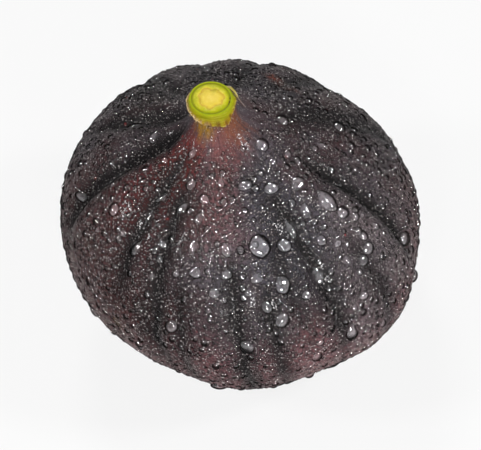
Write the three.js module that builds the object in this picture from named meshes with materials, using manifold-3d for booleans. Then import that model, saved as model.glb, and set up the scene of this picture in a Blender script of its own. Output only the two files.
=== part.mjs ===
// A ripe black fig, picked, standing on its broad base and beaded with water.
// The fruit is one solid: a squat ribbed body that runs up into a short neck, with the eye under its base.
// The stem is the short green stub left at the cut, with its torn skirt of bark round the top of the neck.
// Millimetres and degrees, +Z up. The origin is the middle of the bounding box, on the surface it stands on.
// A place on the skin is an azimuth about the fig's axis and a run, the distance down the skin from the neck.

import * as THREE from "three";
import { mergeVertices } from "three/addons/utils/BufferGeometryUtils.js";
import Module from "manifold-3d";

const wasm = await Module();
wasm.setup();

// Driving dimensions
const FRUIT_RADIUS = 29.8;
const BELLY_HEIGHT = 20;
const NECK_RADIUS = 3.8;
const NECK_HEIGHT = 49.4;
const STEM_RADIUS = 3.3;
const STEM_TOP = 52.6;
const LEAN_X = -0.153; // the axis drifts this far sideways for each millimetre of height
const LEAN_Y = -0.042;

// Half of the fig's outline, from the eye under the base, over the belly, to the top of the neck: [radius, height].
// It dips a little below the surface that the fig stands on, which presses it flat there.
const OUTLINE = [
  [0, 3.9], [0.9, 3.5], [1.7, 1.9], [3, 1.9], [4.4, 2.1], [7.6, -0.3], [12.4, -0.3], [18, 2.2],
  [23.4, 5.8], [27.5, 11], [FRUIT_RADIUS - 0.1, 17], [FRUIT_RADIUS, BELLY_HEIGHT + 3], [27.6, 30],
  [23.2, 35.9], [17.8, 40.2], [12.2, 43], [8.4, 45.1], [5.8, 47], [4.3, 48.4], [NECK_RADIUS, NECK_HEIGHT],
];

// Broad lobes of the body: how many go round, the azimuth of one crest, and their height.
const LOBES = [
  { count: 2, crest: 74, height: 0.15 },
  { count: 5, crest: 41, height: 0.12 },
  { count: 6, crest: 24, height: 0.25 },
  { count: 7, crest: 17, height: 0.2 },
];

// Furrows between the ribs: azimuth, the run where each starts and ends, its depth and its half width.
const FURROWS = [
  { azimuth: 343, from: 13, to: 38, depth: 1.9, half: 1.3 },
  { azimuth: 22, from: 9, to: 40, depth: 0.9, half: 2.2 },
  { azimuth: 52, from: 12, to: 44, depth: 0.5, half: 2.4 },
  { azimuth: 78, from: 8, to: 44, depth: 0.8, half: 2 },
  { azimuth: 101, from: 10, to: 46, depth: 0.6, half: 2.2 },
  { azimuth: 126, from: 7, to: 40, depth: 0.8, half: 2 },
  { azimuth: 160, from: 1, to: 24, depth: 1.6, half: 1.6 },
  { azimuth: 195, from: 3, to: 34, depth: 2, half: 1.4 },
  { azimuth: 229, from: 5, to: 34, depth: 0.8, half: 1.6 },
  { azimuth: 243, from: 10, to: 46, depth: 0.9, half: 1.5 },
  { azimuth: 252, from: 26, to: 50, depth: 0.5, half: 1.3 },
  { azimuth: 271, from: 22, to: 52, depth: 0.9, half: 1.4 },
  { azimuth: 282, from: 28, to: 52, depth: 0.6, half: 1.3 },
  { azimuth: 292, from: 20, to: 34, depth: 0.5, half: 1.4 },
  { azimuth: 304, from: 12, to: 44, depth: 0.9, half: 1.5 },
  { azimuth: 322, from: 26, to: 50, depth: 0.5, half: 1.6 },
];

// Scales that close the eye, as ripples round its lips.
const EYE = { radius: 4.6, scales: 6, height: 0.35 };

// The larger drops that stand on the near side: [azimuth, run, length down the slope, width].
const NEAR_DROPS = [
  [332, 6, 2.4, 2.6], [291, 10, 2.2, 2.8], [307, 12, 2.3, 2.7], [323, 14, 2, 2.8], [327, 19, 4.6, 3.4],
  [328, 22, 2.2, 2.9], [315, 18, 2.6, 2.2], [16, 9, 2.4, 2.6], [259, 12, 1.8, 1.8], [258, 15, 2.6, 2.1],
  [236, 5, 2.2, 1.8], [246, 10, 2, 2], [245, 14, 2.5, 2], [213, 21, 2.4, 2.4], [191, 27, 2, 2.8],
  [162, 15, 1.8, 2.8], [230, 24, 3.4, 2], [256, 20, 2.5, 1.5], [271, 20, 2.6, 2.2], [258, 24, 2.2, 2.2],
  [270, 24, 1.8, 2], [265, 27, 1.9, 2], [286, 20, 4.1, 3.9], [297, 21, 2.6, 2.7], [304, 19, 3.6, 1.8],
  [304, 28, 3.5, 2.5], [290, 27, 3.1, 3], [281, 25, 1.9, 2], [282, 30, 2.1, 2], [286, 33, 2.9, 2.8],
  [297, 30, 1.7, 1.8], [312, 23, 2, 2.1], [328, 27, 1.8, 1.8], [326, 29, 2.2, 2.4], [322, 30, 2.2, 2.2],
  [315, 35, 1.9, 1.8],
];
const DROP_HEIGHT = 0.34; // height of a drop over its width
const SCATTER = { seed: 11, drops: 38, least: 1.6, most: 3, from: 8, to: 58, apart: 6.5 };

// How finely the skin is cut: meridians at an even step, each moved onto a furrow that runs close to it.
const MERIDIAN_STEP = 5;
const MERIDIANS = Array.from({ length: 360 / MERIDIAN_STEP }, (_, k) => {
  const even = MERIDIAN_STEP * k;
  const furrow = FURROWS.find(({ azimuth }) => Math.abs(azimuth - even) < MERIDIAN_STEP / 2);
  return furrow ? furrow.azimuth : even;
});
// Rings of points in each stretch of the run.
const STRETCHES = [
  { upTo: 9, rings: 5 },
  { upTo: 62, rings: 20 },
  { upTo: 75, rings: 3 },
  { upTo: Infinity, rings: 7 },
];

const radians = THREE.MathUtils.degToRad;
const smooth = (from, to, x) => THREE.MathUtils.smoothstep(x, Math.min(from, to), Math.max(from, to));
const fadeIn = (from, to, x) => smooth(from, to, x);
const fadeOut = (from, to, x) => 1 - smooth(from, to, x);

const outline = new THREE.SplineCurve(OUTLINE.map(([radius, height]) => new THREE.Vector2(radius, height)));
outline.arcLengthDivisions = 2000;
const WHOLE_RUN = outline.getLength();

// How far the skin stands out from the plain outline at a place.
function relief(azimuth, run, radius) {
  const belly = fadeIn(4, 20, run) * fadeOut(WHOLE_RUN - 22, WHOLE_RUN - 8, run);
  let out = 0;
  for (const { count, crest, height } of LOBES) {
    out += height * belly * Math.cos(radians(count * (azimuth - crest)));
  }
  for (const { azimuth: middle, from, to, depth, half } of FURROWS) {
    const turn = THREE.MathUtils.euclideanModulo(azimuth - middle + 180, 360) - 180;
    const aside = Math.abs(radians(turn) * Math.max(radius, 1)) / half;
    const along = fadeIn(from - 3, from + 5, run) * fadeOut(to - 7, to + 5, run);
    out -= depth * along * Math.exp(-(aside ** 1.3));
  }
  const toEye = WHOLE_RUN - run;
  const lips = fadeIn(1, 3, toEye) * fadeOut(EYE.radius - 1, EYE.radius, toEye);
  out += EYE.height * lips * Math.cos(radians(EYE.scales * azimuth));
  return out;
}

// The point of the skin at an azimuth and a run. Below the surface that it stands on, the skin is pressed flat.
function skin(azimuth, run) {
  const share = THREE.MathUtils.clamp(1 - run / WHOLE_RUN, 0, 1);
  const { x: radius, y: height } = outline.getPointAt(share);
  const along = outline.getTangentAt(share);
  const out = radius < 1e-6 ? 0 : relief(azimuth, run, radius);
  const bulged = radius + out * along.y;
  const z = Math.max(height - out * along.x, 0);
  return new THREE.Vector3(
    bulged * Math.cos(radians(azimuth)) + LEAN_X * z,
    bulged * Math.sin(radians(azimuth)) + LEAN_Y * z,
    z,
  );
}

// A closed surface through rings of points, each listed anticlockwise from above, from a top point to a bottom one.
function closedSurface(top, rings, bottom) {
  const around = rings[0].length;
  const points = [top, ...rings.flat(), bottom];
  const faces = [];
  const at = (ring, i) => 1 + ring * around + (i % around);
  for (let i = 0; i < around; i++) {
    faces.push(0, at(0, i), at(0, i + 1));
    for (let ring = 0; ring + 1 < rings.length; ring++) {
      faces.push(at(ring, i), at(ring + 1, i), at(ring + 1, i + 1));
      faces.push(at(ring, i), at(ring + 1, i + 1), at(ring, i + 1));
    }
    faces.push(points.length - 1, at(rings.length - 1, i + 1), at(rings.length - 1, i));
  }
  return new THREE.BufferGeometry().setFromPoints(points).setIndex(faces);
}

// A closed geometry as a solid that can be joined or cut, and back.
function toSolid(geometry) {
  const bare = geometry.clone();
  bare.deleteAttribute("normal");
  bare.deleteAttribute("uv");
  const merged = mergeVertices(bare, 1e-4);
  const mesh = new wasm.Mesh({
    numProp: 3,
    vertProperties: merged.attributes.position.array,
    triVerts: new Uint32Array(merged.index.array),
  });
  return new wasm.Manifold(mesh);
}

function toGeometry(solid) {
  const mesh = solid.getMesh();
  const geometry = new THREE.BufferGeometry();
  geometry.setAttribute("position", new THREE.BufferAttribute(mesh.vertProperties, 3));
  geometry.setIndex(new THREE.BufferAttribute(mesh.triVerts, 1));
  geometry.computeVertexNormals();
  return geometry;
}

// The fruit's skin, closed over the top of the neck and through the eye.
function fruitBody() {
  const rings = [];
  let start = 0;
  for (const { upTo, rings: count } of STRETCHES) {
    const end = Math.min(upTo, WHOLE_RUN);
    for (let i = 0; i < count; i++) {
      const run = start + ((end - start) * i) / count;
      rings.push(MERIDIANS.map((azimuth) => skin(azimuth, run)));
    }
    start = end;
  }
  const neckTop = new THREE.Vector3(LEAN_X * NECK_HEIGHT, LEAN_Y * NECK_HEIGHT, NECK_HEIGHT);
  return closedSurface(neckTop, rings, skin(0, WHOLE_RUN));
}

// A repeatable stream of numbers from 0 to 1.
function randomStream(seed) {
  let state = seed;
  return () => {
    state = (state * 16807) % 2147483647;
    return state / 2147483647;
  };
}

// Drops on the sides that the near ones leave bare, kept apart from each other and from the near ones.
function scatteredDrops() {
  const random = randomStream(SCATTER.seed);
  const places = NEAR_DROPS.map(([azimuth, run]) => skin(azimuth, run));
  const drops = [];
  for (let tries = 0; drops.length < SCATTER.drops && tries < 4000; tries++) {
    const azimuth = 360 * random();
    const run = SCATTER.from + (SCATTER.to - SCATTER.from) * Math.sqrt(random());
    const width = SCATTER.least + (SCATTER.most - SCATTER.least) * random() ** 2;
    const length = width * (0.9 + 0.4 * random());
    const place = skin(azimuth, run);
    if (places.every((other) => other.distanceTo(place) > SCATTER.apart)) {
      places.push(place);
      drops.push([azimuth, run, length, width]);
    }
  }
  return drops;
}

// One drop: a low dome with its lower half sunk in the skin, its length lying down the slope.
function dropSolid([azimuth, run, length, width]) {
  const step = 0.5;
  const place = skin(azimuth, run);
  const down = skin(azimuth, run + step).sub(skin(azimuth, run - step)).normalize();
  const aside = skin(azimuth + 1, run).sub(skin(azimuth - 1, run)).normalize();
  const out = new THREE.Vector3().crossVectors(down, aside).normalize();
  const across = new THREE.Vector3().crossVectors(out, down);
  const dome = new THREE.SphereGeometry(1, 7, 4);
  dome.scale(width / 2, DROP_HEIGHT * Math.min(length, width), length / 2);
  const frame = new THREE.Matrix4().makeBasis(across, out, new THREE.Vector3().crossVectors(across, out));
  frame.setPosition(place);
  dome.applyMatrix4(frame);
  return toSolid(dome);
}

function fruit() {
  const drops = [...NEAR_DROPS, ...scatteredDrops()].map(dropSolid);
  const solid = wasm.Manifold.union([toSolid(fruitBody()), ...drops]);
  return toGeometry(solid);
}

// The stem. Heights are from the top of the neck, and the skirt's torn edge is a sum of waves round the stub.
const GAP = 0.3; // between the stem and the neck
const STEM_SIDES = 48;
const SKIRT_RADIUS = 4.1;
const CUT_TILT = 0.07; // rise of the cut face for each millimetre away from the near side

const torn = (azimuth) =>
  0.3 * Math.sin(radians(3 * azimuth + 40)) +
  0.2 * Math.sin(radians(7 * azimuth)) +
  0.12 * Math.sin(radians(13 * azimuth + 100));

// The stub's outline at one azimuth, from its cut face down to its underside: [radius, height over the neck].
function stemOutline(azimuth) {
  const edge = torn(azimuth);
  const cut = STEM_TOP - NECK_HEIGHT;
  return [
    [1, cut - 0.05], [2.1, cut], [2.75, cut - 0.02], [2.95, cut - 0.3], [3.05, cut - 0.05],
    [STEM_RADIUS, cut - 0.1], [STEM_RADIUS + 0.12, cut - 0.5], [STEM_RADIUS + 0.15, 1.7 + 0.5 * edge],
    [SKIRT_RADIUS - 0.15 + 0.2 * edge, 1.3 + 0.6 * edge], [SKIRT_RADIUS + 0.25 * edge, 0.55 + 0.5 * edge],
    [SKIRT_RADIUS + 0.05 + 0.3 * edge, 0.1 + 0.5 * edge], [SKIRT_RADIUS - 0.35, GAP + 0.25 * edge],
    [2.6, GAP],
  ];
}

function stemPoint(azimuth, radius, height) {
  const z = NECK_HEIGHT + height;
  const y = radius * Math.sin(radians(azimuth));
  const tilt = height > 1.5 ? CUT_TILT * y : 0;
  return new THREE.Vector3(radius * Math.cos(radians(azimuth)) + LEAN_X * z, y + LEAN_Y * z, z + tilt);
}

// A thread of bark that peeled off at the cut: a thin horn along a curve.
function barkThread() {
  const path = new THREE.CatmullRomCurve3(
    [[3, 0.6, 2.1], [3.9, 0.9, 2.4], [4.7, 0.7, 2.1], [5.4, 0.2, 1.3]].map(([x, y, height]) => {
      const z = NECK_HEIGHT + height;
      return new THREE.Vector3(x + LEAN_X * z, y + LEAN_Y * z, z);
    }),
  );
  const steps = 6;
  const sides = 6;
  const frames = path.computeFrenetFrames(steps, false);
  const rings = [];
  for (let i = 0; i <= steps; i++) {
    const middle = path.getPointAt(i / steps);
    const radius = 0.42 - (0.18 * i) / steps;
    const ring = Array.from({ length: sides }, (_, k) => {
      const turn = (-2 * Math.PI * k) / sides;
      return middle
        .clone()
        .addScaledVector(frames.normals[i], radius * Math.cos(turn))
        .addScaledVector(frames.binormals[i], radius * Math.sin(turn));
    });
    rings.push(ring);
  }
  return closedSurface(path.getPointAt(0), rings, path.getPointAt(1));
}

function stem() {
  const rows = stemOutline(0).length;
  const rings = Array.from({ length: rows }, (_, row) =>
    Array.from({ length: STEM_SIDES }, (_, k) => {
      const azimuth = (360 * k) / STEM_SIDES;
      return stemPoint(azimuth, ...stemOutline(azimuth)[row]);
    }),
  );
  const stub = closedSurface(stemPoint(0, 0, STEM_TOP - NECK_HEIGHT - 0.05), rings, stemPoint(0, 0, GAP));
  return toGeometry(toSolid(stub).add(toSolid(barkThread())));
}

// Materials and assembly
const skinMaterial = new THREE.MeshStandardMaterial({ color: 0x3b3338, roughness: 0.45, metalness: 0 });
const stemMaterial = new THREE.MeshStandardMaterial({ color: 0xb4b424, roughness: 0.55, metalness: 0 });

const fig = new THREE.Group();

function addPiece(name, geometry, material) {
  const piece = new THREE.Mesh(geometry, material);
  piece.name = name;
  fig.add(piece);
}

addPiece("fruit", fruit(), skinMaterial);
addPiece("stem", stem(), stemMaterial);

// The bounding box's middle goes over the origin.
const middle = new THREE.Box3().setFromObject(fig).getCenter(new THREE.Vector3());
fig.position.set(-middle.x, -middle.y, 0);

export default fig;
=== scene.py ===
"""A ripe black fig, picked and wet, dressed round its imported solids.

The script makes the fig in the order that it grew and was handled: the skin, the eye, the stub of stem, and
last the water on it. Lengths are in millimetres where a rule of the fig's own shape gives them, and MM turns
them into metres. A place on the skin is an azimuth about the fig's axis, in degrees, and a run, the distance
down the skin from the neck's top, in millimetres.
"""

import math

import bpy
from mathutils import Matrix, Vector
from mathutils.kdtree import KDTree


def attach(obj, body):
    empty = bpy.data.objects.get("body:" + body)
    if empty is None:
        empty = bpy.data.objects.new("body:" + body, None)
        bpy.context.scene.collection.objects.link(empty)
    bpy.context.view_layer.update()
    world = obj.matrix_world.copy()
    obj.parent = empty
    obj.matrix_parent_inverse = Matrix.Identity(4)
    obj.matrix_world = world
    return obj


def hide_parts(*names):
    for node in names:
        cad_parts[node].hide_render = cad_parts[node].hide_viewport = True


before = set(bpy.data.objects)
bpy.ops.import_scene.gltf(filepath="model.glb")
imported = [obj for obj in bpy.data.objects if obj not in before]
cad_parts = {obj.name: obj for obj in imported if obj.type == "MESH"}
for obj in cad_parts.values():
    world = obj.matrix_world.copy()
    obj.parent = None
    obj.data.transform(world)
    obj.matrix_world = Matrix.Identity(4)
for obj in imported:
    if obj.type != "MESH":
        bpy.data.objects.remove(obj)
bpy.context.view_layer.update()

# Camera
# It looks down at the fig from the front, from far enough off that the fig hardly tapers. The fig's axis
# leans, and every place on it is counted from the axis's foot, which the flat top of the solid neck gives.
MM = 0.001
LEAN = Vector((-0.153, -0.042, 1))  # the axis's drift for each millimetre of height
NECK_HEIGHT = 49.4
ELEVATION = math.radians(50)
DISTANCE = 480 * MM
LENS = 215.0  # millimetres, on a sensor 36 mm wide
LOOK_AT = Vector((-3.34, -1.68, 20.59))  # from the axis's foot
LEVEL = 0.01  # corners of the solid neck within this of its highest one are on its flat top


def neck_top():
    """The middle of the solid neck's flat top."""
    corners = [vertex.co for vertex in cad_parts["fruit"].data.vertices]
    height = max(corner.z for corner in corners)
    rim = [corner for corner in corners if corner.z > height - LEVEL * MM]
    low = Vector(map(min, *rim))
    high = Vector(map(max, *rim))
    return (low + high) / 2


def new_object(name, data):
    """A new object in the scene."""
    made = bpy.data.objects.new(name, data)
    bpy.context.scene.collection.objects.link(made)
    return made


FOOT = neck_top() - LEAN * NECK_HEIGHT * MM
camera = new_object("camera", bpy.data.cameras.new("camera"))
camera.data.lens = LENS
camera.data.clip_start = 0.01
camera.rotation_euler = (math.pi / 2 - ELEVATION, 0, 0)
camera.location = FOOT + LOOK_AT * MM + Vector((0, -math.cos(ELEVATION), math.sin(ELEVATION))) * DISTANCE
bpy.context.scene.camera = camera

# Skin
# The fruit's thin waxy skin, from its neck over the furrowed body to the eye. Its outline turns about the
# axis, and lobes and the furrows between the ribs press it in and out. It reaches up under the stem's bark
# as a collar.
COLLAR = 2.5  # how far the skin goes on above the neck's top, along the run
OUTLINE = [
    (0, 3.9), (0.9, 3.5), (1.7, 1.9), (3, 1.9), (4.4, 2.1), (7.6, -0.3), (12.4, -0.3), (18, 2.2),
    (23.4, 5.8), (27.5, 11), (29.7, 17), (29.8, 23), (27.6, 30), (23.2, 35.9), (17.8, 40.2), (12.2, 43),
    (8.4, 45.1), (5.8, 47), (4.3, 48.4), (3.8, NECK_HEIGHT), (3.7, NECK_HEIGHT + 0.9),
    (3.5, NECK_HEIGHT + 2.5),
]  # radius and height, from the eye up
LOBES = [(2, 74, 0.15), (5, 41, 0.12), (6, 24, 0.25), (7, 17, 0.2)]  # how many go round, one crest, height
FURROWS = [
    (343, 13, 38, 1.9, 1.3), (22, 9, 40, 0.9, 2.2), (52, 12, 44, 0.5, 2.4), (78, 8, 44, 0.8, 2),
    (101, 10, 46, 0.6, 2.2), (126, 7, 40, 0.8, 2), (160, 1, 24, 1.6, 1.6), (195, 3, 34, 2, 1.4),
    (229, 5, 34, 0.8, 1.6), (243, 10, 46, 0.9, 1.5), (252, 26, 50, 0.5, 1.3), (271, 22, 52, 0.9, 1.4),
    (282, 28, 52, 0.6, 1.3), (292, 20, 34, 0.5, 1.4), (304, 12, 44, 0.9, 1.5), (322, 26, 50, 0.5, 1.6),
]  # azimuth, where the run starts and ends, depth and half width
DEEPEST = 2.0
EYE_RADIUS = 4.6
EYE_SCALES = 6
EYE_RIPPLE = 0.35
VEIN_HEIGHT = 0.34
DENT_DEPTH = 0.4
MERIDIANS = 360
RINGS = 245
SEWN = 0.001  # points of the skin closer than this become one
GEOMETRY = "GeometryNodeTree"
SHADER = "ShaderNodeTree"


def fill(tree, socket, value):
    """Gives a node's input a plain value, or links it to another node's output."""
    if isinstance(value, Field):
        value = value.socket
    if isinstance(value, bpy.types.NodeSocket):
        tree.links.new(value, socket)
    elif socket.type == "RGBA" and len(value) == 3:
        socket.default_value = (*value, 1)
    else:
        socket.default_value = value


def set_inputs(tree, node, values):
    """Gives a node's inputs their values, which go by name or by number."""
    for key, value in dict(values).items():
        fill(tree, node.inputs[key], value)


def add_node(tree, kind, inputs=(), **settings):
    """A new node with its settings and its inputs, which go by name or by number."""
    node = tree.nodes.new(kind)
    for setting, value in settings.items():
        setattr(node, setting, value)
    set_inputs(tree, node, inputs)
    return node


def result(tree, kind, inputs=(), output=0, **settings):
    """The output, by name or by number, of a new node."""
    return add_node(tree, kind, inputs, **settings).outputs[output]


class Field:
    """A number that varies over a surface, held as a node's output, so that a rule reads as a formula."""

    def __init__(self, tree, socket):
        self.tree = tree
        self.socket = socket

    def math(self, operation, *others):
        node = add_node(self.tree, "ShaderNodeMath", enumerate([self, *others]), operation=operation)
        return Field(self.tree, node.outputs[0])

    def __add__(self, other):
        return self.math("ADD", other)

    def __sub__(self, other):
        return self.math("SUBTRACT", other)

    def __rsub__(self, other):
        return self * -1 + other

    def __mul__(self, other):
        return self.math("MULTIPLY", other)

    def __truediv__(self, other):
        return self.math("DIVIDE", other)

    def __pow__(self, other):
        return self.math("POWER", other)


def fade(value, start, end, low=0.0, high=1.0):
    """Goes smoothly from low to high while value goes from start to end."""
    ends = {"Value": value, "From Min": start, "From Max": end, "To Min": low, "To Max": high}
    node = add_node(value.tree, "ShaderNodeMapRange", ends, interpolation_type="SMOOTHSTEP")
    return Field(value.tree, node.outputs[0])


def combine(tree, x, y, z):
    return result(tree, "ShaderNodeCombineXYZ", enumerate((x, y, z)))


def separate(tree, vector):
    outputs = add_node(tree, "ShaderNodeSeparateXYZ", {0: vector}).outputs
    return [Field(tree, outputs[i]) for i in range(3)]


def noise(tree, vector, scale, detail=2.0, roughness=0.5):
    inputs = {"Vector": vector, "Scale": scale, "Detail": detail, "Roughness": roughness}
    return Field(tree, result(tree, "ShaderNodeTexNoise", inputs))


def numbers(*names):
    """Sockets for plain numbers."""
    return [(name, "Float") for name in names]


def fields(tree, sockets, names):
    return [Field(tree, sockets[name]) for name in names]


def position(tree):
    return result(tree, "GeometryNodeInputPosition")


def new_group(name, kind, inputs, outputs):
    """An empty node group, with its inputs and outputs given as names and kinds of socket."""
    tree = bpy.data.node_groups.new(name, kind)
    for label, socket in inputs:
        tree.interface.new_socket(label, in_out="INPUT", socket_type="NodeSocket" + socket)
    for label, socket in outputs:
        tree.interface.new_socket(label, in_out="OUTPUT", socket_type="NodeSocket" + socket)
    given = tree.nodes.new("NodeGroupInput").outputs
    wanted = tree.nodes.new("NodeGroupOutput").inputs
    return tree, given, wanted


def placed(tree, group, inputs):
    """The outputs of a node group that is placed in a tree with these inputs."""
    kind = "GeometryNodeGroup" if tree.bl_idname == GEOMETRY else "ShaderNodeGroup"
    return add_node(tree, kind, inputs, node_tree=group).outputs


def furrow_group():
    """How far into one furrow a place is: 0 outside it and 1 along its bed."""
    names = ["Azimuth", "Run", "Radius", "Middle", "From", "To", "Half width"]
    tree, given, wanted = new_group("Furrow", GEOMETRY, numbers(*names), numbers("Share"))
    azimuth, run, radius, middle, start, end, half = fields(tree, given, names)
    turn = (azimuth - middle).math("WRAP", 180, -180).math("RADIANS").math("ABSOLUTE")
    aside = turn * radius.math("MAXIMUM", 1) / half
    along = fade(run, start - 3, start + 5) * fade(run, end - 7, end + 5, 1, 0)
    fill(tree, wanted["Share"], along * (aside ** 1.3 * -1).math("EXPONENT"))
    return tree


def on_axis(tree, x, y, z):
    """A point in metres, from its millimetres across and along the fig's leaning axis."""
    return combine(tree, (x + z * LEAN.x) * MM + FOOT.x, (y + z * LEAN.y) * MM + FOOT.y, z * MM + FOOT.z)


def place_group():
    """The point of the skin at an azimuth and a run, and how deep in a furrow it lies, for the furrow's
    colour and painted shade.
    """
    inputs = [("Outline", "Geometry"), *numbers("Azimuth", "Run")]
    outputs = [("Position", "Vector"), *numbers("Furrow")]
    tree, given, wanted = new_group("Place on the skin", GEOMETRY, inputs, outputs)
    furrow = furrow_group()
    outline = given["Outline"]
    azimuth, run = fields(tree, given, ("Azimuth", "Run"))
    turn = azimuth.math("RADIANS")
    cosine = turn.math("COSINE")
    sine = turn.math("SINE")
    length = Field(tree, result(tree, "GeometryNodeCurveLength", {0: outline}))
    share = 1 - (run + COLLAR) / length
    at = {"Curves": outline, "Factor": share}
    sample = add_node(tree, "GeometryNodeSampleCurve", at, mode="FACTOR", use_all_curves=False)
    radius, _, height = separate(tree, sample.outputs["Position"])
    slope_out, _, slope_up = separate(tree, sample.outputs["Tangent"])
    to_eye = length - COLLAR - run
    belly = fade(run, 4, 20) * fade(to_eye, 8, 22)

    out = belly * 0
    for count, crest, lobe in LOBES:
        out = out + belly * ((azimuth - crest) * count).math("RADIANS").math("COSINE") * lobe
    wander = noise(tree, combine(tree, cosine * 2, sine * 2, run * 0.1), 1, 1) - 0.5
    depth = belly * 0
    shade = belly * 0
    for middle, start, end, deep, half in FURROWS:
        where = {"Azimuth": azimuth + wander * 5, "Run": run, "Radius": radius}
        form = {"Middle": middle, "From": start, "To": end, "Half width": half}
        share = Field(tree, placed(tree, furrow, {**where, **form})[0])
        depth = depth + share * deep
        shade = shade.math("MAXIMUM", share * math.sqrt(deep / DEEPEST))
    lips = fade(to_eye, 1, 3) * fade(to_eye, EYE_RADIUS - 1, EYE_RADIUS, 1, 0)
    ripple = lips * (azimuth * EYE_SCALES).math("RADIANS").math("COSINE") * EYE_RIPPLE
    veins = noise(tree, combine(tree, cosine * 14, sine * 14, run * 0.16), 1, 3) - 0.5
    dents = noise(tree, combine(tree, cosine * 5, sine * 5, run * 0.35), 1, 2) - 0.5
    out = out - depth + ripple + (veins * VEIN_HEIGHT + dents * DENT_DEPTH) * belly

    bulged = radius + out * slope_up
    z = (height - out * slope_out).math("MAXIMUM", 0)
    fill(tree, wanted["Furrow"], shade)
    fill(tree, wanted["Position"], on_axis(tree, bulged * cosine, bulged * sine, z))
    return tree


PLACE = place_group()


def outline_object():
    """The fig's half outline, as a smooth curve in the plane of x and z."""
    curve = bpy.data.curves.new("outline", "CURVE")
    curve.dimensions = "3D"
    spline = curve.splines.new("POLY")
    spline.points.add(len(OUTLINE) - 1)
    for point, (radius, height) in zip(spline.points, OUTLINE):
        point.co = (radius, 0, height, 1)
    return new_object("outline", curve)


def object_geometry(tree, given):
    info = add_node(tree, "GeometryNodeObjectInfo", {"Object": given}, transform_space="ORIGINAL")
    return info.outputs["Geometry"]


def smooth_outline(tree, outline):
    """The outline object's curve, rounded through its points."""
    curve = object_geometry(tree, outline)
    rounded = result(tree, "GeometryNodeCurveSplineType", {"Curve": curve}, spline_type="CATMULL_ROM")
    return result(tree, "GeometryNodeSetSplineResolution", {0: rounded, "Resolution": 48})


def store(tree, geometry, name, value, kind="FLOAT"):
    """The geometry with a value kept on its points under a name."""
    inputs = {"Geometry": geometry, "Name": name, "Value": value}
    return result(tree, "GeometryNodeStoreNamedAttribute", inputs, data_type=kind)


def finished(tree, geometry, material):
    """The geometry as real faces, shaded smooth, with its material."""
    real = result(tree, "GeometryNodeRealizeInstances", {0: geometry})
    smooth = result(tree, "GeometryNodeSetShadeSmooth", {"Geometry": real})
    return result(tree, "GeometryNodeSetMaterial", {"Geometry": smooth, "Material": material})


def skin_tree(material):
    """The whole skin: a sheet of meridians and rings laid on the places of the skin and sewn up."""
    inputs = [("Outline", "Object"), ("Meridians", "Int"), ("Rings", "Int")]
    tree, given, wanted = new_group("Fig skin", GEOMETRY, inputs, [("Geometry", "Geometry")])
    outline = smooth_outline(tree, given["Outline"])
    meridians, rings = fields(tree, given, ("Meridians", "Rings"))
    size = {"Vertices X": meridians + 1, "Vertices Y": rings + 2}
    sheet = result(tree, "GeometryNodeMeshGrid", {"Size X": 1.0, "Size Y": 1.0, **size}, output="Mesh")
    x, y, _ = separate(tree, position(tree))
    azimuth = (x + 0.5) * 360
    row = (y + 0.5) * (rings + 1)
    length = Field(tree, result(tree, "GeometryNodeCurveLength", {0: outline}))
    run = length * (1 - (row / rings).math("MINIMUM", 1)) - COLLAR
    place = placed(tree, PLACE, {"Outline": outline, "Azimuth": azimuth, "Run": run})
    top = Vector((OUTLINE[-1][1] * LEAN.x, OUTLINE[-1][1] * LEAN.y, OUTLINE[-1][1])) * MM + FOOT
    closing = row.math("GREATER_THAN", rings + 0.5)
    either = {0: closing, 4: place["Position"], 5: top}
    point = result(tree, "ShaderNodeMix", either, data_type="VECTOR", output=1)
    turn = azimuth.math("RADIANS")
    around = combine(tree, turn.math("COSINE"), turn.math("SINE"), run)
    sheet = store(tree, sheet, "place", around, "FLOAT_VECTOR")
    sheet = store(tree, sheet, "furrow", Field(tree, place["Furrow"]))
    sheet = result(tree, "GeometryNodeSetPosition", {"Geometry": sheet, "Position": point})
    sewn = result(tree, "GeometryNodeMergeByDistance", {"Geometry": sheet, "Distance": SEWN * MM})
    fill(tree, wanted["Geometry"], finished(tree, sewn, material))
    return tree


def plain_mesh(made):
    """An object's final shape as a plain mesh."""
    bpy.context.view_layer.update()
    return bpy.data.meshes.new_from_object(made.evaluated_get(bpy.context.evaluated_depsgraph_get()))


def grown(name, tree, inputs, mesh=None):
    """A plain mesh object made by a Geometry Nodes tree, whose inputs are set by name."""
    made = new_object(name, mesh or bpy.data.meshes.new(name))
    modifier = made.modifiers.new(name, "NODES")
    modifier.node_group = tree
    for item in tree.interface.items_tree:
        if item.in_out == "INPUT" and item.name in inputs:
            modifier[item.identifier] = inputs[item.name]
    plain = plain_mesh(made)
    made.modifiers.remove(modifier)
    plain.name = name
    made.data = plain
    return made


def dress(piece, node):
    """Hangs a piece on the root body and hides the solid that it stands for."""
    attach(piece, "root")
    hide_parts(node)


STRONG_LIGHT = 0.62  # under strong light a surface needs only this share of the colour that is seen


def paint(red, green, blue):
    """A colour seen as 0 to 255, in the linear values that shaders take."""
    parts = [part / 255 for part in (red, green, blue)]
    linear = [part / 12.92 if part <= 0.04045 else ((part + 0.055) / 1.055) ** 2.4 for part in parts]
    return tuple(part * STRONG_LIGHT for part in linear)


def mix(tree, factor, first, second):
    """A colour that goes from the first to the second as the factor goes from 0 to 1."""
    return result(tree, "ShaderNodeMix", {0: factor, 6: first, 7: second}, data_type="RGBA", output=2)


def ramp(tree, factor, stops):
    """A colour that runs through the stops, each a place from 0 to 1 and its colour."""
    node = add_node(tree, "ShaderNodeValToRGB", {0: factor})
    elements = node.color_ramp.elements
    for i, (place, colour) in enumerate(stops):
        element = elements[i] if i < 2 else elements.new(place)
        element.position = place
        element.color = (*colour, 1)
    return node.outputs[0]


def new_material(name):
    """A material, its node tree and its shader."""
    material = bpy.data.materials.new(name)
    material.use_nodes = True
    return material, material.node_tree, material.node_tree.nodes["Principled BSDF"]


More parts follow.
